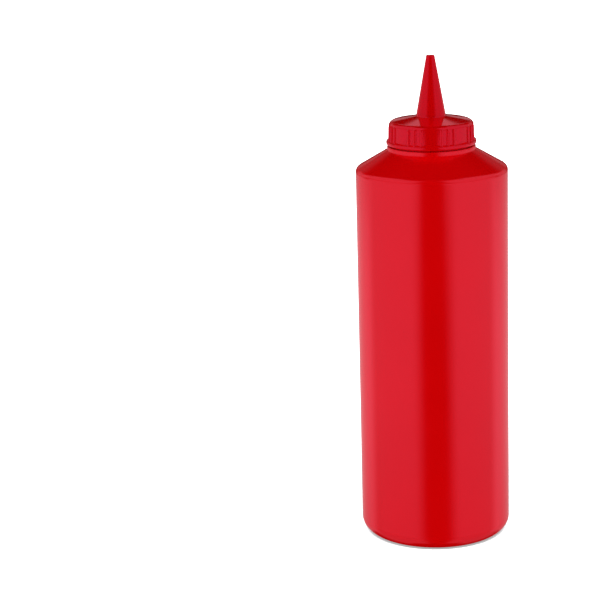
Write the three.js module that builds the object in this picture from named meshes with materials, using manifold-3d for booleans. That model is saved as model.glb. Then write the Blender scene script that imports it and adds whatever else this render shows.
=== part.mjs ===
// Condiment squeeze bottle: an opaque blow-moulded body, shut by a screw cap with a long pouring nozzle.
// Millimetres, +Z up. The origin is the middle of the ring that the bottle stands on, and -Y is its front.

import * as THREE from 'three';
import { ConvexGeometry } from 'three/addons/geometries/ConvexGeometry.js';
import { mergeVertices } from 'three/addons/utils/BufferGeometryUtils.js';
import Module from 'manifold-3d';

// Body of the bottle. A corner's height is where its two straight runs would meet if it weren't rounded.
const BODY_RADIUS = 40.4;
const BASE_EDGE_RADIUS = 7.6;
const STANDING_RING_WIDTH = 3.5;
const STANDING_RING_EDGE = 1;
const RECESS_DEPTH = 3;
const RECESS_WALL_RUN = 6;
const RECESS_EDGE = 4;
const SHOULDER_CORNER_HEIGHT = 202;
const SHOULDER_EDGE_RADIUS = 3;

// Collar at the foot of the neck, the land above it that the cap seats on, and the plain neck inside the cap
const COLLAR_RADIUS = 23.5;
const COLLAR_FOOT_HEIGHT = 212;
const COLLAR_TOP_HEIGHT = 214.1;
const COLLAR_FOOT_FILLET = 0.3;
const COLLAR_EDGE = 0.6;
const LAND_RADIUS = 21.3;
const NECK_RADIUS = 20.4;
const NECK_TOP_HEIGHT = 223.6;

// Screw cap: a bead round its foot, a gripping skirt, a low conical top
const CAP_FOOT_HEIGHT = 214.7;
const BEAD_RADIUS = 23.9;
const BEAD_FOOT_EDGE = 0.9;
const BEAD_CORNER_HEIGHT = 216.6;
const BEAD_EDGE = 0.6;
const BEAD_TOP_HEIGHT = 217.4;
const SKIRT_FOOT_RADIUS = 22.55;
const SKIRT_TOP_RADIUS = 22.25;
const CAP_CORNER_HEIGHT = 226.95;
const CAP_EDGE_RADIUS = 2.4;
const CAP_CLEARANCE = 0.3;

// Pouring nozzle, moulded in one with the cap
const NOZZLE_FOOT_RADIUS = 7.9;
const NOZZLE_FOOT_HEIGHT = 229.6;
const NOZZLE_FOOT_FILLET = 0.4;
const NOZZLE_TIP_RADIUS = 2.2;
const NOZZLE_TIP_HEIGHT = 261.6;
const NOZZLE_TIP_EDGE = 0.3;
const ORIFICE_RADIUS = 1.1;
const ORIFICE_DEPTH = 8;

// Gripping ribs, in evenly spaced groups round the skirt with smooth panels between them
const RIB_GROUPS = 8;
const RIBS_IN_GROUP = 3;
const RIB_PITCH = THREE.MathUtils.degToRad(9);
const RIB_TOP_HEIGHT = 225.8;
const RIB_END_RADIUS = 22.1;
const RIB_END_RUN = 0.8;
const RIB_ROOT_DEPTH = 0.5;

// Half of a rib's section from its foot to its crest: distance from its middle, and height above the skirt
const RIB_HALF_SECTION = [
  [0.93, 0],
  [0.79, 0.35],
  [0.7, 0.48],
  [0.1, 0.82],
];

// Satin red plastic of the two pieces
const BOTTLE_RED = 0xd0101c;
const BOTTLE_ROUGHNESS = 0.35;
const CAP_RED = 0xc40f1c;
const CAP_ROUGHNESS = 0.4;

// Facets of the round shapes
const SIDES = 64;
const ARC_STEP = THREE.MathUtils.degToRad(18);

const wasm = await Module();
wasm.setup();

// Points of the arc that rounds one corner between its two neighbours.
function roundCorner(before, corner, after, radius) {
  const back = before.clone().sub(corner).normalize();
  const ahead = after.clone().sub(corner).normalize();
  const half = back.angleTo(ahead) / 2;
  const start = corner.clone().addScaledVector(back, radius / Math.tan(half));
  const middle = back.clone().add(ahead).normalize();
  const centre = corner.clone().addScaledVector(middle, radius / Math.sin(half));
  const turn = (Math.PI - 2 * half) * Math.sign(ahead.cross(back));
  const steps = Math.max(2, Math.ceil(Math.abs(turn) / ARC_STEP));
  return Array.from({ length: steps + 1 }, (_, i) =>
    start.clone().rotateAround(centre, (turn * i) / steps),
  );
}

// A closed solid of revolution from corners given as [radius, height, corner radius].
function latheSolid(corners) {
  const points = corners.map(([radius, height]) => new THREE.Vector2(radius, height));
  const profile = corners.flatMap(([, , round], i) =>
    round ? roundCorner(points[i - 1], points[i], points[i + 1], round) : [points[i]],
  );
  return new THREE.LatheGeometry(profile, SIDES).rotateX(Math.PI / 2);
}

// Body, shoulder, collar and neck. The body is opaque and shut, so it is solid.
function bottleGeometry() {
  const ringInside = BODY_RADIUS - BASE_EDGE_RADIUS - STANDING_RING_WIDTH;
  const landTop = CAP_FOOT_HEIGHT - CAP_CLEARANCE;
  return latheSolid([
    [0, RECESS_DEPTH],
    [ringInside - RECESS_WALL_RUN, RECESS_DEPTH, RECESS_EDGE],
    [ringInside, 0, STANDING_RING_EDGE],
    [BODY_RADIUS, 0, BASE_EDGE_RADIUS],
    [BODY_RADIUS, SHOULDER_CORNER_HEIGHT, SHOULDER_EDGE_RADIUS],
    [COLLAR_RADIUS, COLLAR_FOOT_HEIGHT, COLLAR_FOOT_FILLET],
    [COLLAR_RADIUS, COLLAR_TOP_HEIGHT, COLLAR_EDGE],
    [LAND_RADIUS, COLLAR_TOP_HEIGHT],
    [LAND_RADIUS, landTop],
    [NECK_RADIUS, landTop],
    [NECK_RADIUS, NECK_TOP_HEIGHT],
    [0, NECK_TOP_HEIGHT],
  ]);
}

// The cap without its ribs: socket over the neck, bead, skirt, conical top and nozzle.
function plainCapGeometry() {
  const socketRadius = NECK_RADIUS + CAP_CLEARANCE;
  const socketTop = NECK_TOP_HEIGHT + CAP_CLEARANCE;
  const orificeFloor = NOZZLE_TIP_HEIGHT - ORIFICE_DEPTH;
  return latheSolid([
    [0, socketTop],
    [socketRadius, socketTop],
    [socketRadius, CAP_FOOT_HEIGHT],
    [BEAD_RADIUS, CAP_FOOT_HEIGHT, BEAD_FOOT_EDGE],
    [BEAD_RADIUS, BEAD_CORNER_HEIGHT, BEAD_EDGE],
    [SKIRT_FOOT_RADIUS, BEAD_TOP_HEIGHT],
    [SKIRT_TOP_RADIUS, CAP_CORNER_HEIGHT, CAP_EDGE_RADIUS],
    [NOZZLE_FOOT_RADIUS, NOZZLE_FOOT_HEIGHT, NOZZLE_FOOT_FILLET],
    [NOZZLE_TIP_RADIUS, NOZZLE_TIP_HEIGHT, NOZZLE_TIP_EDGE],
    [ORIFICE_RADIUS, NOZZLE_TIP_HEIGHT],
    [ORIFICE_RADIUS, orificeFloor],
    [0, orificeFloor],
  ]);
}

// Radius of the smooth skirt at a height.
function skirtRadius(height) {
  const share = (height - BEAD_TOP_HEIGHT) / (CAP_CORNER_HEIGHT - BEAD_TOP_HEIGHT);
  return THREE.MathUtils.lerp(SKIRT_FOOT_RADIUS, SKIRT_TOP_RADIUS, share);
}

// One rib: rooted in the bead and the skirt, with a top end that slopes into the rounded edge of the cap.
function ribGeometry(angle) {
  const footHeight = BEAD_CORNER_HEIGHT;
  const slopeHeight = RIB_TOP_HEIGHT - RIB_END_RUN;
  const rootRadius = SKIRT_TOP_RADIUS - RIB_ROOT_DEPTH;
  const points = [];
  for (const [across, rise] of RIB_HALF_SECTION) {
    for (const y of [across, -across]) {
      points.push(new THREE.Vector3(skirtRadius(footHeight) + rise, y, footHeight));
      points.push(new THREE.Vector3(skirtRadius(slopeHeight) + rise, y, slopeHeight));
    }
  }
  const [[halfWidth]] = RIB_HALF_SECTION;
  for (const y of [halfWidth, -halfWidth]) {
    points.push(new THREE.Vector3(RIB_END_RADIUS, y, RIB_TOP_HEIGHT));
    points.push(new THREE.Vector3(rootRadius, y, RIB_TOP_HEIGHT));
    points.push(new THREE.Vector3(rootRadius, y, footHeight));
  }
  return new ConvexGeometry(points).rotateZ(angle);
}

// Angles of all ribs: each group is centred between two of the smooth panels.
function ribAngles() {
  const angles = [];
  for (let group = 0; group < RIB_GROUPS; group += 1) {
    const centre = ((group + 0.5) * 2 * Math.PI) / RIB_GROUPS;
    for (let i = 0; i < RIBS_IN_GROUP; i += 1) {
      angles.push(centre + (i - (RIBS_IN_GROUP - 1) / 2) * RIB_PITCH);
    }
  }
  return angles;
}

// A closed geometry as a solid that can be joined to another.
function toSolid(geometry) {
  geometry.deleteAttribute('normal');
  geometry.deleteAttribute('uv');
  const merged = mergeVertices(geometry);
  return new wasm.Manifold(
    new wasm.Mesh({
      numProp: 3,
      vertProperties: new Float32Array(merged.attributes.position.array),
      triVerts: new Uint32Array(merged.index.array),
    }),
  );
}

// A joined solid as a geometry again.
function toGeometry(solid) {
  const { vertProperties, triVerts } = solid.getMesh();
  const geometry = new THREE.BufferGeometry();
  geometry.setAttribute('position', new THREE.BufferAttribute(vertProperties, 3));
  geometry.setIndex(new THREE.BufferAttribute(triVerts, 1));
  geometry.computeVertexNormals();
  return geometry;
}

// The cap with its gripping ribs.
function capGeometry() {
  let cap = toSolid(plainCapGeometry());
  for (const angle of ribAngles()) {
    cap = cap.add(toSolid(ribGeometry(angle)));
  }
  return toGeometry(cap);
}

// One named piece in its own red plastic.
function piece(name, geometry, colour, roughness) {
  const material = new THREE.MeshStandardMaterial({ color: colour, roughness, metalness: 0 });
  const mesh = new THREE.Mesh(geometry, material);
  mesh.name = name;
  return mesh;
}

const squeezeBottle = new THREE.Group();
squeezeBottle.add(piece('bottle', bottleGeometry(), BOTTLE_RED, BOTTLE_ROUGHNESS));
squeezeBottle.add(piece('cap', capGeometry(), CAP_RED, CAP_ROUGHNESS));

export default squeezeBottle;
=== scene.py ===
# %% [markdown]
# # A red squeeze bottle for sauce
# The object is a soft plastic bottle that stands on a counter, with a screw cap that ends in a long
# nozzle. A solid model of it is loaded first, as a frame that never moves. Each piece of this lesson is
# built around that frame, in metres and in its place, so nothing has to be scaled or fitted by eye
# afterwards.

# %% Load the frame
import math
from collections import namedtuple

import bmesh
import bpy
from mathutils import Matrix, Vector


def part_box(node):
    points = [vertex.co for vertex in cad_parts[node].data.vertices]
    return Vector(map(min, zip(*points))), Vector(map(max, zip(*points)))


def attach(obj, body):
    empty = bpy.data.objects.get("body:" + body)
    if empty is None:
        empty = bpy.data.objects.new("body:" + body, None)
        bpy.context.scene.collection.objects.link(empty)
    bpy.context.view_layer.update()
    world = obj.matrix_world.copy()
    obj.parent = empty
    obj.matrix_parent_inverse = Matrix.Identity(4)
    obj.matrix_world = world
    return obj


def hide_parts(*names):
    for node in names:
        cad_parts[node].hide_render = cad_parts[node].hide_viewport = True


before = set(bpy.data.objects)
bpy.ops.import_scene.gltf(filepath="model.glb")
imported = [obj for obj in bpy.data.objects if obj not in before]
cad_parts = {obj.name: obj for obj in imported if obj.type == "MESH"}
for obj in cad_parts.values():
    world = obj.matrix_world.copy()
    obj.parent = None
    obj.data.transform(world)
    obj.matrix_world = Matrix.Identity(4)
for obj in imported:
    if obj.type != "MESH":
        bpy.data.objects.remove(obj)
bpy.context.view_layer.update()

print("frame nodes:", sorted(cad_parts))

# %% [markdown]
# ## Sizes
# The main sizes are read from the frame: how wide the body is, where its neck ends, and where the cap
# starts and ends. They could be typed in again, but then the two models could drift apart. The small
# forms further down, such as roundings, are in millimetres, as a mould maker's drawing would give them.

# %% Measure the frame
MM = 0.001

bottle_low, bottle_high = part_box("bottle")
cap_low, cap_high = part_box("cap")
BODY_RADIUS = bottle_high.x / MM
NECK_TOP = bottle_high.z / MM
CAP_FOOT = cap_low.z / MM
BEAD_RADIUS = cap_high.x / MM
NOZZLE_TIP = cap_high.z / MM
print(f"body {2 * BODY_RADIUS:.1f} mm across, nozzle ends at {NOZZLE_TIP:.1f} mm")

# %% [markdown]
# ## An outline with rounded corners
# Both pieces are round, so each is one outline turned about the upright axis. The Screw modifier could
# turn a drawn curve, but the cap has ribs and the bottle has a weld, and those are easiest to work into
# the rings while they are made. An outline is a short list of corners, each with the radius that rounds
# it off, because no edge of a mould is quite sharp. The gap says how far apart the rings may be on the
# run up to that corner.

# %% Round off the corners
RING_GAP = 3
ARC_STEP = math.radians(7)
Corner = namedtuple("Corner", "radius height rounding gap", defaults=(0, RING_GAP))


def round_off(before, corner, after, rounding):
    """Points of the arc that rounds one corner between its two neighbours."""
    back = (before - corner).normalized()
    ahead = (after - corner).normalized()
    half = back.angle(ahead) / 2
    start = corner + back * rounding / math.tan(half)
    centre = corner + (back + ahead).normalized() * rounding / math.sin(half)
    turn = math.copysign(math.pi - 2 * half, ahead.cross(back))
    steps = max(2, math.ceil(abs(turn) / ARC_STEP))
    return [centre + Matrix.Rotation(turn * i / steps, 2) @ (start - centre) for i in range(steps + 1)]


print("a right angle is rounded in", math.ceil(math.pi / 2 / ARC_STEP), "steps")

# %% [markdown]
# ## Rings along the outline
# Smooth shading blends the slope from one ring to the next. On a long straight run, the blend from a
# rounded corner would spread over the whole side and bend its reflections. A supporting ring close to
# each end of the run keeps the blend short, in the way that a modeller adds support loops beside an
# edge.

# %% Space the rings
SUPPORT = 0.35
SHORTEST_RUN = 3 * SUPPORT


def straight_run(start, end, gap):
    """Rings along a straight run: a support ring near each end, and the others evenly spread."""
    length = (end - start).length
    if length < SHORTEST_RUN:
        return []
    inner = length - 2 * SUPPORT
    count = math.ceil(inner / gap)
    marks = [SUPPORT + inner * i / count for i in range(count + 1)]
    return [start.lerp(end, mark / length) for mark in marks]


def outline_rings(corners):
    """Rings, each a radius and a height, along an outline of corners."""
    points = [Vector((corner.radius, corner.height)) for corner in corners]
    rings = []
    for i, corner in enumerate(corners):
        arc = [points[i]]
        if corner.rounding:
            arc = round_off(points[i - 1], points[i], points[i + 1], corner.rounding)
        if rings:
            rings += straight_run(rings[-1], arc[0], corner.gap)
        rings += arc
    return rings


print("support rings sit", SUPPORT, "mm from the end of a run")

# %% [markdown]
# ## Turning an outline into a piece
# Each ring becomes a loop of vertices, and neighbouring loops are joined by faces. A relief function
# may shift any vertex outward or upward, which is how ribs and lines get into the surface as real shape
# that shows in its outline and shadow. A ring on the axis is a single vertex, so the ends close without
# a hole.

# %% Turn a piece
SHARP_ANGLE = math.radians(35)
ON_AXIS = 1e-6


def ring_loop(bm, ring, angles, relief):
    """The vertices of one ring, or a single one where the ring is on the axis."""
    radius, height = ring
    if radius < ON_AXIS:
        upward = relief(0, 0, height)[1]
        return [bm.verts.new((0, 0, (height + upward) * MM))]
    loop = []
    for angle in angles:
        outward, upward = relief(angle, radius, height)
        reach = (radius + outward) * MM
        place = (reach * math.cos(angle), reach * math.sin(angle), (height + upward) * MM)
        loop.append(bm.verts.new(place))
    return loop


def join_loops(bm, lower, upper, count):
    """Faces between two neighbouring loops: triangles where one of them is a single vertex."""
    for i in range(count):
        k = (i + 1) % count
        below = [lower[i % len(lower)], lower[k % len(lower)]]
        above = [upper[k % len(upper)], upper[i % len(upper)]]
        bm.faces.new(list(dict.fromkeys(below + above)))


def turned_piece(name, rings, angles, relief):
    """A closed piece made by turning rings about the upright axis."""
    bm = bmesh.new()
    loops = [ring_loop(bm, ring, angles, relief) for ring in rings]
    for lower, upper in zip(loops, loops[1:]):
        join_loops(bm, lower, upper, len(angles))
    bmesh.ops.recalc_face_normals(bm, faces=bm.faces)
    mesh = bpy.data.meshes.new(name)
    bm.to_mesh(mesh)
    bm.free()
    mesh.shade_smooth()
    mesh.set_sharp_from_angle(angle=SHARP_ANGLE)
    piece = bpy.data.objects.new(name, mesh)
    bpy.context.collection.objects.link(piece)
    print(name, "has", len(rings), "rings and", len(mesh.polygons), "faces")
    return piece


print("edges sharper than", round(math.degrees(SHARP_ANGLE)), "degrees stay crisp")

# %% [markdown]
# ## The bottle's outline
# The body is blown from a soft tube of plastic inside a mould. It has a straight side, a well rounded
# foot, a small rounding at the shoulder, a sloping shoulder, and a collar under the cap. Underneath, it
# stands on a ring round a shallow recess. The plain neck goes up into the cap, where nobody sees it.

# %% Bottle outline
BASE_EDGE = 7.6
RING_WIDTH = 3.5
RING_EDGE = 1
RING_INSIDE = BODY_RADIUS - BASE_EDGE - RING_WIDTH
RECESS_DEPTH = 3
RECESS_SLOPE = 6
RECESS_EDGE = 4
RECESS_GAP = 0.8
SHOULDER_HEIGHT = 202
SHOULDER_EDGE = 3
COLLAR_RADIUS = 23.5
COLLAR_FOOT = 212
COLLAR_TOP = 214.1
COLLAR_FILLET = 0.3
COLLAR_EDGE = 0.6
LAND_RADIUS = 21.3
NECK_RADIUS = 20.4
CLEARANCE = 0.3

bottle_rings = outline_rings([
    Corner(0, RECESS_DEPTH),
    Corner(RING_INSIDE - RECESS_SLOPE, RECESS_DEPTH, RECESS_EDGE, RECESS_GAP),
    Corner(RING_INSIDE, 0, RING_EDGE),
    Corner(BODY_RADIUS, 0, BASE_EDGE),
    Corner(BODY_RADIUS, SHOULDER_HEIGHT, SHOULDER_EDGE),
    Corner(COLLAR_RADIUS, COLLAR_FOOT, COLLAR_FILLET),
    Corner(COLLAR_RADIUS, COLLAR_TOP, COLLAR_EDGE),
    Corner(LAND_RADIUS, COLLAR_TOP),
    Corner(LAND_RADIUS, CAP_FOOT - CLEARANCE),
    Corner(NECK_RADIUS, CAP_FOOT - CLEARANCE),
    Corner(NECK_RADIUS, NECK_TOP),
    Corner(0, NECK_TOP),
])
print("the bottle's outline has", len(bottle_rings), "rings")

# %% [markdown]
# ## Traces of the mould
# The two halves of the mould leave a hair line down each side of the bottle, and where they pinch the
# tube shut they leave a weld across the recess underneath. Both could be painted on, but then they
# would have no edge that catches the light, so they are pressed into the rings. Extra angles beside the
# line make it narrow.

# %% Bottle with its mould lines
PARTING_HALF_WIDTH = 0.3
PARTING_STEPS = (-1, -0.5, 0.5, 1)
PARTING_DEPTH = 0.05
WELD_HALF_LENGTH = 17
WELD_HALF_WIDTH = 1
WELD_HEIGHT = 0.8
BOTTLE_SIDES = 256


def even_angles(count):
    """Angles evenly spread round the axis."""
    return [2 * math.pi * i / count for i in range(count)]


def swell(distance):
    """A soft rise: 1 in the middle, falling smoothly to 0 at a distance of 1."""
    return math.cos(min(abs(distance), 1) * math.pi / 2) ** 2


def bottle_relief(angle, radius, height):
    """Shift of the surface, outward and upward, at the parting line and at the weld underneath."""
    across = radius * math.sin(angle)
    along = abs(radius * math.cos(angle))
    if radius > RING_INSIDE:
        return -PARTING_DEPTH * swell(across / PARTING_HALF_WIDTH), 0
    if height > RECESS_DEPTH:
        return 0, 0
    past_end = max(0, along - WELD_HALF_LENGTH)
    return 0, -WELD_HEIGHT * swell(math.hypot(across, past_end) / WELD_HALF_WIDTH)


half_line = PARTING_HALF_WIDTH / BODY_RADIUS
line_angles = [side + half_line * step for side in (0, math.pi) for step in PARTING_STEPS]
bottle_angles = sorted(even_angles(BOTTLE_SIDES) + [angle % (2 * math.pi) for angle in line_angles])
bottle = turned_piece("bottle_body", bottle_rings, bottle_angles, bottle_relief)

# %% [markdown]
# ## The cap's outline
# The cap is moulded in one piece with its nozzle: a bead with a sloping top round the foot, a skirt
# that narrows a little so that it leaves the mould, a rounded top edge, a low cone, and the long taper
# to the small hole at the tip. Cap and nozzle could be two pieces pushed together, but that would leave
# a seam that the real cap hasn't. The outline starts inside, at the socket that goes over the neck, and
# ends at the floor of the hole.

# %% Cap outline
BEAD_FOOT_EDGE = 0.9
BEAD_CORNER = 216.6
BEAD_EDGE = 0.6
BEAD_TOP = 217.4
BEAD_FILLET = 0.2
SKIRT_FOOT_RADIUS = 22.55
SKIRT_TOP_RADIUS = 22.25
CAP_CORNER = 226.95
CAP_EDGE = 2.4
NOZZLE_FOOT_RADIUS = 7.9
NOZZLE_FOOT = 229.6
NOZZLE_FILLET = 0.4
NOZZLE_TIP_RADIUS = 2.2
NOZZLE_TIP_EDGE = 0.3
HOLE_RADIUS = 1.1
HOLE_EDGE = 0.2
HOLE_DEPTH = 8
SKIRT_GAP = 0.6

cap_rings = outline_rings([
    Corner(0, NECK_TOP + CLEARANCE),
    Corner(NECK_RADIUS + CLEARANCE, NECK_TOP + CLEARANCE),
    Corner(NECK_RADIUS + CLEARANCE, CAP_FOOT),
    Corner(BEAD_RADIUS, CAP_FOOT, BEAD_FOOT_EDGE),
    Corner(BEAD_RADIUS, BEAD_CORNER, BEAD_EDGE),
    Corner(SKIRT_FOOT_RADIUS, BEAD_TOP, BEAD_FILLET),
    Corner(SKIRT_TOP_RADIUS, CAP_CORNER, CAP_EDGE, SKIRT_GAP),
    Corner(NOZZLE_FOOT_RADIUS, NOZZLE_FOOT, NOZZLE_FILLET),
    Corner(NOZZLE_TIP_RADIUS, NOZZLE_TIP, NOZZLE_TIP_EDGE),
    Corner(HOLE_RADIUS, NOZZLE_TIP, HOLE_EDGE),
    Corner(HOLE_RADIUS, NOZZLE_TIP - HOLE_DEPTH),
    Corner(0, NOZZLE_TIP - HOLE_DEPTH),
])
print("the cap's outline has", len(cap_rings), "rings")

# %% [markdown]
# ## Gripping ribs
# Groups of three upright ribs help wet fingers to turn the cap, with a smooth panel between the groups.
# They could be separate strips joined with Boolean modifiers, but that leaves ragged faces which shade
# badly. Here the skirt's own rings are pulled out to the section of a rib: a low roof on steep feet,
# which fades out at its top.

# %% Cap with its ribs
RIB_GROUPS = 8
RIBS_IN_GROUP = 3
RIB_PITCH = math.radians(9)
RIB_HALF_SECTION = ((0, 0.82), (0.1, 0.82), (0.7, 0.48), (0.79, 0.35), (0.93, 0))
RIB_TOP = 225.8
RIB_FADE = 0.8
RIB_MARGIN = 1.3
CAP_SIDES = 144

group_angles = [2 * math.pi * (group + 0.5) / RIB_GROUPS for group in range(RIB_GROUPS)]
rib_places = [i - (RIBS_IN_GROUP - 1) / 2 for i in range(RIBS_IN_GROUP)]
rib_angles = [middle + place * RIB_PITCH for middle in group_angles for place in rib_places]


def turn_from_rib(angle):
    """The turn between an angle and the nearest rib."""
    return min(abs((angle - rib + math.pi) % (2 * math.pi) - math.pi) for rib in rib_angles)


def rib_height(across):
    """Height of a rib above the skirt, at a distance from the rib's middle."""
    for (near, high), (far, low) in zip(RIB_HALF_SECTION, RIB_HALF_SECTION[1:]):
        if across <= far:
            return high + (low - high) * (across - near) / (far - near)
    return 0


def cap_relief(angle, radius, height):
    """Shift of the surface, outward where it is in a rib. The ribs stand on the slope of the bead."""
    if radius < NECK_RADIUS + 2 * CLEARANCE or not BEAD_CORNER < height < RIB_TOP:
        return 0, 0
    rib = rib_height(radius * turn_from_rib(angle)) * min(1, (RIB_TOP - height) / RIB_FADE)
    return max(0, min(radius, SKIRT_FOOT_RADIUS) + rib - radius), 0


half_turns = [across / SKIRT_FOOT_RADIUS for across, _ in RIB_HALF_SECTION]
rib_turns = sorted(set(half_turns + [-turn for turn in half_turns]))
rib_reach = RIB_MARGIN * half_turns[-1]
on_ribs = [(rib + turn) % (2 * math.pi) for rib in rib_angles for turn in rib_turns]
between_ribs = [angle for angle in even_angles(CAP_SIDES) if turn_from_rib(angle) > rib_reach]
cap = turned_piece("ribbed_cap", cap_rings, sorted(on_ribs + between_ribs), cap_relief)

# %% [markdown]
# ## Nodes in few lines
# Finishes in Blender are networks of nodes. Made by hand they are dragged and wired one by one, and in
# a script each takes several lines. This helper makes a node, sets its options, and wires or fills its
# inputs in one call, so that the finishes below read as a list of what the real surface has.

# %% Node helpers
NOISE_LOW = 0.3
NOISE_HIGH = 0.7


def add_node(tree, kind, inputs=None, **options):
    """A node of one kind, with its options set and its inputs wired to sockets or filled with values."""
    node = tree.nodes.new(kind)
    for name, value in options.items():
        setattr(node, name, value)
    for name, value in (inputs or {}).items():
        if isinstance(value, bpy.types.NodeSocket):
            tree.links.new(value, node.inputs[name])
        else:
            node.inputs[name].default_value = value
    return node


def vector_math(tree, operation, *inputs):
    """The result of one operation on vectors or sockets."""
    return add_node(tree, "ShaderNodeVectorMath", dict(enumerate(inputs)), operation=operation).outputs[0]


def noise(tree, place, scale, detail=2.0):
    """A cloudy pattern from 0 to 1, with scale as the number of clouds in a metre."""
    inputs = {"Vector": place, "Scale": scale, "Detail": detail}
    return add_node(tree, "ShaderNodeTexNoise", inputs).outputs["Fac"]


def spread(tree, value, low, high):
    """Turns a cloudy pattern, which stays near its middle, into a value from low to high."""
    limits = {"From Min": NOISE_LOW, "From Max": NOISE_HIGH, "To Min": low, "To Max": high}
    return add_node(tree, "ShaderNodeMapRange", {"Value": value, **limits}).outputs["Result"]


def shade_between(tree, value, dark, light):
    """A colour between a dark and a light one. The Mix node's colour inputs are numbers 6 and 7."""
    mix = add_node(tree, "ShaderNodeMix", {0: value, 6: dark, 7: light}, data_type="RGBA")
    return mix.outputs[2]


print("node helpers are ready")

# %% [markdown]
# ## Satin red plastic
# Squeeze bottles are polyethylene, coloured right through, so there is no paint to chip. The surface is
# satin: a fine grain from the mould, and on a blown bottle faint upright lines where the soft tube was
# drawn from its die. The lines come from a pattern laid round the axis, so they follow the shoulder and
# the foot as well as the side. The injected cap has low waves instead, which run no particular way. A
# flat colour would look like a toy, so the red drifts a little in large soft clouds, the gloss varies,
# and the grain and the lines tilt the surface by a degree or so. They are only microns high, far too
# fine to model. The gloss is stronger than that of clear plastic, and red, because the pigment just
# under the skin sends light back close to the mirror direction. A high refractive index with a red tint
# stands in for that.

# %% Plastic finish
GLOSS_IOR = 2.2
GRAIN_SCALE = 2600.0
CLOUD_SCALE = 22.0
GLOSS_SCALE = 60.0
FINE_DETAIL = 3.0
MICRON = 1e-6


def satin_plastic(
    name, dark, light, roughness, gloss, gloss_tint, lines_round, line_scale, line_height, grain_height
):
    """Satin polyethylene with drifting colour and gloss, drawn lines or low waves, and a fine grain."""
    material = bpy.data.materials.new(name)
    material.use_nodes = True
    tree = material.node_tree
    plastic = tree.nodes["Principled BSDF"]
    place = add_node(tree, "ShaderNodeTexCoord").outputs["Object"]
    outward = vector_math(tree, "NORMALIZE", vector_math(tree, "MULTIPLY", place, (1, 1, 0)))
    wrapped = vector_math(tree, "MULTIPLY", outward, (lines_round, lines_round, 0))
    lines = noise(tree, vector_math(tree, "MULTIPLY_ADD", place, line_scale, wrapped), 1.0)
    grain = noise(tree, place, GRAIN_SCALE, FINE_DETAIL)
    clouds = noise(tree, place, CLOUD_SCALE, FINE_DETAIL)
    low_relief = {"Height": lines, "Distance": line_height * MICRON}
    drawn = add_node(tree, "ShaderNodeBump", low_relief).outputs["Normal"]
    fine_relief = {"Height": grain, "Distance": grain_height * MICRON, "Normal": drawn}
    grained = add_node(tree, "ShaderNodeBump", fine_relief).outputs["Normal"]
    colour = shade_between(tree, spread(tree, clouds, 0.0, 1.0), dark, light)
    tree.links.new(colour, plastic.inputs["Base Color"])
    dullness = spread(tree, noise(tree, place, GLOSS_SCALE), *roughness)
    tree.links.new(dullness, plastic.inputs["Roughness"])
    tree.links.new(grained, plastic.inputs["Normal"])
    plastic.inputs["IOR"].default_value = GLOSS_IOR
    plastic.inputs["Specular IOR Level"].default_value = gloss
    plastic.inputs["Specular Tint"].default_value = gloss_tint
    print(name, "has", len(tree.nodes), "nodes")
    return material


bottle_plastic = satin_plastic(
    "satin_bottle_plastic",
    dark=(0.62, 0.0003, 0.0012, 1),
    light=(0.66, 0.0003, 0.0012, 1),
    roughness=(0.15, 0.19),
    gloss=1.0,
    gloss_tint=(1, 0.14, 0.24, 1),
    lines_round=36,
    line_scale=(0, 0, 6),
    line_height=5,
    grain_height=2,
)
cap_plastic = satin_plastic(
    "satin_cap_plastic",
    dark=(0.495, 0.0003, 0.0012, 1),
    light=(0.535, 0.0003, 0.0012, 1),
    roughness=(0.10, 0.13),
    gloss=0.9,
    gloss_tint=(1, 0.09, 0.21, 1),
    lines_round=0,
    line_scale=(300, 300, 300),
    line_height=4,
    grain_height=1.5,
)

# %% [markdown]
# ## Joining the pieces to the frame
# Each piece stands for one solid of the frame, which is then hidden, and moves with the frame's only
# body.

# %% Dress the pieces
for piece, node, slot, finish in (
    (bottle, "bottle", "bottle_plastic", bottle_plastic),
    (cap, "cap", "cap_plastic", cap_plastic),
):
    piece.data.materials.append(finish)
    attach(piece, "root")
    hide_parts(node)
    print(piece.name, "stands for", node)

# %% [markdown]
# ## A white table
# The bottle stands on a plain white table, so bright that only a thin shadow is left under the rounded
# foot. A white plane under strong lamps would do that, but it would also throw its light up and bleach
# the red plastic. So only the camera sees this table: it gives a little light of its own, which is what
# remains in the shadow, and lamps of its own do the rest.

# %% Table
TABLE_HALF = 6
TABLE_DROP = 0.0002
TABLE_GREY = 0.05
SHADOW_LEVEL = 0.42

bm = bmesh.new()
bmesh.ops.create_grid(bm, size=TABLE_HALF, matrix=Matrix.Translation((0, 0, -TABLE_DROP)))
table_mesh = bpy.data.meshes.new("white_table")
bm.to_mesh(table_mesh)
bm.free()
table = bpy.data.objects.new("white_table", table_mesh)
bpy.context.collection.objects.link(table)
table.visible_diffuse = False
table.visible_glossy = False
table.visible_shadow = False

table_white = bpy.data.materials.new("white_table")
table_white.use_nodes = True
surface = table_white.node_tree.nodes["Principled BSDF"].inputs
surface["Base Color"].default_value = (TABLE_GREY, TABLE_GREY, TABLE_GREY, 1)
surface["Specular IOR Level"].default_value = 0.0
surface["Emission Color"].default_value = (1, 1, 1, 1)
surface["Emission Strength"].default_value = SHADOW_LEVEL
table_mesh.materials.append(table_white)
print("the table is", 2 * TABLE_HALF, "m wide")

# %% [markdown]
# ## The studio around it
# Plastic takes its look from what it mirrors. White cards stand round the sides and the back of this
# bottle, and leave an opening at the front for the camera: that opening is the dark band down the
# middle of the bottle. Real planes could be placed one by one, but painting the World by direction does
# the same with no objects in the way. A direction is given as in a map: how far round from the front,
# and how high, both in degrees. The camera itself sees plain white.

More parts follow.
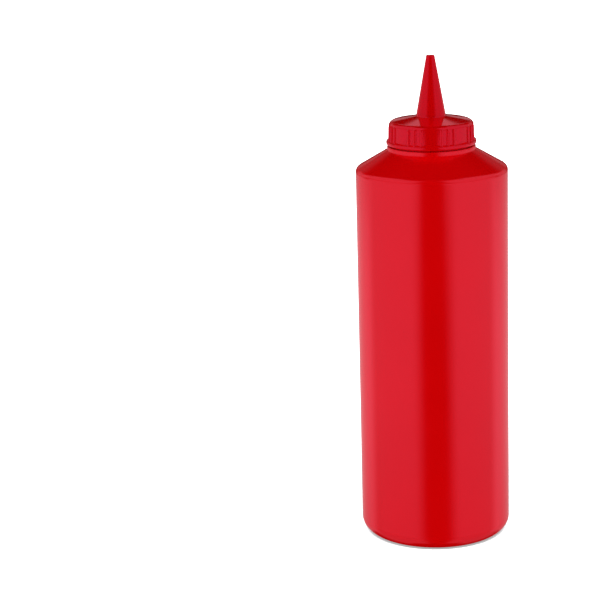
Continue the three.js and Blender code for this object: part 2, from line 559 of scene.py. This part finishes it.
# %% Start the World
world = bpy.data.worlds.new("white_cards")
bpy.context.scene.world = world
world.use_nodes = True
world.cycles.sampling_method = "NONE"
sky = world.node_tree


def calc(operation, first, second=0.0):
    """The result of one operation on numbers or sockets."""
    return add_node(sky, "ShaderNodeMath", {0: first, 1: second}, operation=operation).outputs[0]


direction = add_node(sky, "ShaderNodeTexCoord").outputs["Generated"]
x, y, z = add_node(sky, "ShaderNodeSeparateXYZ", {"Vector": direction}).outputs
height = calc("DEGREES", calc("ARCSINE", z))
turn_from_front = calc("DEGREES", calc("ARCTAN2", x, calc("MULTIPLY", y, -1.0)))
print("the World knows how far round and how high each ray looks")

# %% [markdown]
# ## The cards
# A card has a brightness, where it begins and ends round the bottle and in height, and how soft its
# sides and its upper and lower edges are. The first five stand below level, where the side of the body
# and the foot look: three at the front and two behind. Those three are also turned a few degrees to the
# right, because the dark band stands a little right of the middle there. The next three, again at the
# front, mirror in the cap and its nozzle, from just below level to high above. The last ones stand
# behind the bottle, where the slopes of the shoulder and of the cap's low cone look, and the outer edges
# of the cap. Soft edges matter as much as brightness: they are why the dark band fades instead of ending
# in a line.

# %% Paint the cards
Card = namedtuple("Card", "brightness around height soft_side soft_edge turn", defaults=(0,))
CARDS = (
    Card(0.30, (25, 130), (-70, -35), 11, 2.5, 5),
    Card(0.30, (25, 106), (-35, -19.5), 11, 2.5, 5),
    Card(0.48, (25, 106), (-19.5, -10.5), 11, 2.5, 2.5),
    Card(0.58, (106, 190), (-35, -19.5), 11, 2.5),
    Card(0.85, (106, 190), (-19.5, -10.5), 11, 2.5),
    Card(0.46, (18, 110), (-10.5, 3), 4, 2.5),
    Card(0.26, (36, 118), (3, 13), 11, 2.5),
    Card(0.42, (25, 128), (13, 66), 11, 2.5),
    Card(0.06, (118, 190), (-10.5, 7), 11, 2.5),
    Card(0.40, (117, 150), (-9, 20), 8, 4),
    Card(0.14, (146, 166), (12, 26), 8, 6),
    Card(0.30, (160, 190), (5, 11.5), 8, 2),
    Card(0.22, (170, 190), (7, 11.5), 4, 1.5),
    Card(0.66, (167, 190), (25, 31.5), 3, 1.5),
)


def band(value, limits, blur):
    """1 between two limits and 0 outside them, with a soft step at each."""
    start, end = limits
    rising = {"Value": value, "From Min": start - blur, "From Max": start + blur}
    downward = {"To Min": 1.0, "To Max": 0.0}
    falling = {"Value": value, "From Min": end - blur, "From Max": end + blur, **downward}
    steps = [
        add_node(sky, "ShaderNodeMapRange", step, interpolation_type="SMOOTHSTEP").outputs["Result"]
        for step in (rising, falling)
    ]
    return calc("MULTIPLY", *steps)


mirrored = 0.0
for card in CARDS:
    round_from_front = calc("ABSOLUTE", calc("SUBTRACT", turn_from_front, card.turn))
    patch = calc("MULTIPLY", band(round_from_front, card.around, card.soft_side), card.brightness)
    patch = calc("MULTIPLY", patch, band(height, card.height, card.soft_edge))
    mirrored = calc("ADD", patch, mirrored)

camera_ray = add_node(sky, "ShaderNodeLightPath").outputs["Is Camera Ray"]
seen = add_node(sky, "ShaderNodeMix", {0: camera_ray, 2: mirrored, 3: 1.0}).outputs[0]
background = sky.nodes["Background"].inputs
background["Color"].default_value = (1, 1, 1, 1)
sky.links.new(seen, background["Strength"])
print("the World has", len(CARDS), "cards")

# %% [markdown]
# ## Soft lamps
# Among white cards, light comes from all round. A sun lamp with a very wide angle is a whole glowing
# dome, so one above and one below light the bottle softly from every side, and three narrower ones,
# like soft boxes, brighten its left, right and front. They light the bottle alone, which Blender calls
# light linking. Two more light the table alone, from both sides of the camera, so that each fills the
# long shadow of the other and only the thin shadow under the foot is left. None shows in the gloss,
# because the World already says what the plastic mirrors.

# %% Lamps
DOME = 178
SOFT_BOX = 40
TABLE_BOX = 28
TABLE_STRENGTH = 75
Lamp = namedtuple("Lamp", "name source angle strength")
STUDIO_LAMPS = (
    Lamp("dome_above", (0, 0, 1), DOME, 2.0),
    Lamp("dome_below", (0, 0, -1), DOME, 1.17),
    Lamp("soft_box_left", (-1, 0, 0), SOFT_BOX, 0.58),
    Lamp("soft_box_right", (1, 0, 0), SOFT_BOX, 0.34),
    Lamp("soft_box_front", (0, -1, 0), SOFT_BOX, 1.63),
)
TABLE_LAMPS = (
    Lamp("table_lamp_left", (-0.26, -0.5, 0.83), TABLE_BOX, TABLE_STRENGTH),
    Lamp("table_lamp_right", (0.26, -0.5, 0.83), TABLE_BOX, TABLE_STRENGTH),
)


def lit_group(name, *objects):
    """A collection of the objects that a lamp lights."""
    group = bpy.data.collections.new(name)
    for lit in objects:
        group.objects.link(lit)
    return group


def soft_sun(lamp, lit):
    """A wide sun that shines from its source on some objects only, and does not show in their gloss."""
    light = bpy.data.lights.new(lamp.name, "SUN")
    light.angle = math.radians(lamp.angle)
    light.energy = lamp.strength
    light.cycles.use_multiple_importance_sampling = False
    sun = bpy.data.objects.new(lamp.name, light)
    sun.rotation_euler = Vector(lamp.source).to_track_quat("Z", "Y").to_euler()
    sun.visible_glossy = False
    sun.light_linking.receiver_collection = lit
    bpy.context.collection.objects.link(sun)
    print(lamp.name, "has strength", lamp.strength)


pieces_lit = lit_group("lit_by_studio", bottle, cap)
table_lit = lit_group("lit_by_table_lamps", table)
for lamp in STUDIO_LAMPS:
    soft_sun(lamp, pieces_lit)
for lamp in TABLE_LAMPS:
    soft_sun(lamp, table_lit)

# %% [markdown]
# ## The camera
# The picture was taken from a little above, with a long lens, and the bottle stands right of its
# middle. The camera is turned to the left for that, instead of shifting the lens, so that other views
# stay in the middle.

# %% Camera
CAMERA_DISTANCE = 1.0951
CAMERA_HEIGHT = 0.4127
LOOK_DOWN = math.radians(14.449)
LOOK_LEFT = math.radians(3.759)
TILT = math.radians(-1.612)
SENSOR_WIDTH = 36
FOCAL_LENGTH = 125.58

camera = bpy.data.objects.new("camera", bpy.data.cameras.new("camera"))
camera.data.sensor_width = SENSOR_WIDTH
camera.data.lens = FOCAL_LENGTH
stand = Matrix.Translation((0, -CAMERA_DISTANCE, CAMERA_HEIGHT))
turn = Matrix.Rotation(LOOK_LEFT, 4, "Z") @ Matrix.Rotation(math.pi / 2 - LOOK_DOWN, 4, "X")
camera.matrix_world = stand @ turn @ Matrix.Rotation(TILT, 4, "Z")
bpy.context.collection.objects.link(camera)
bpy.context.scene.camera = camera
bpy.context.scene.view_settings.view_transform = "Standard"
print("camera is", round(math.hypot(CAMERA_DISTANCE, CAMERA_HEIGHT), 3), "m away")
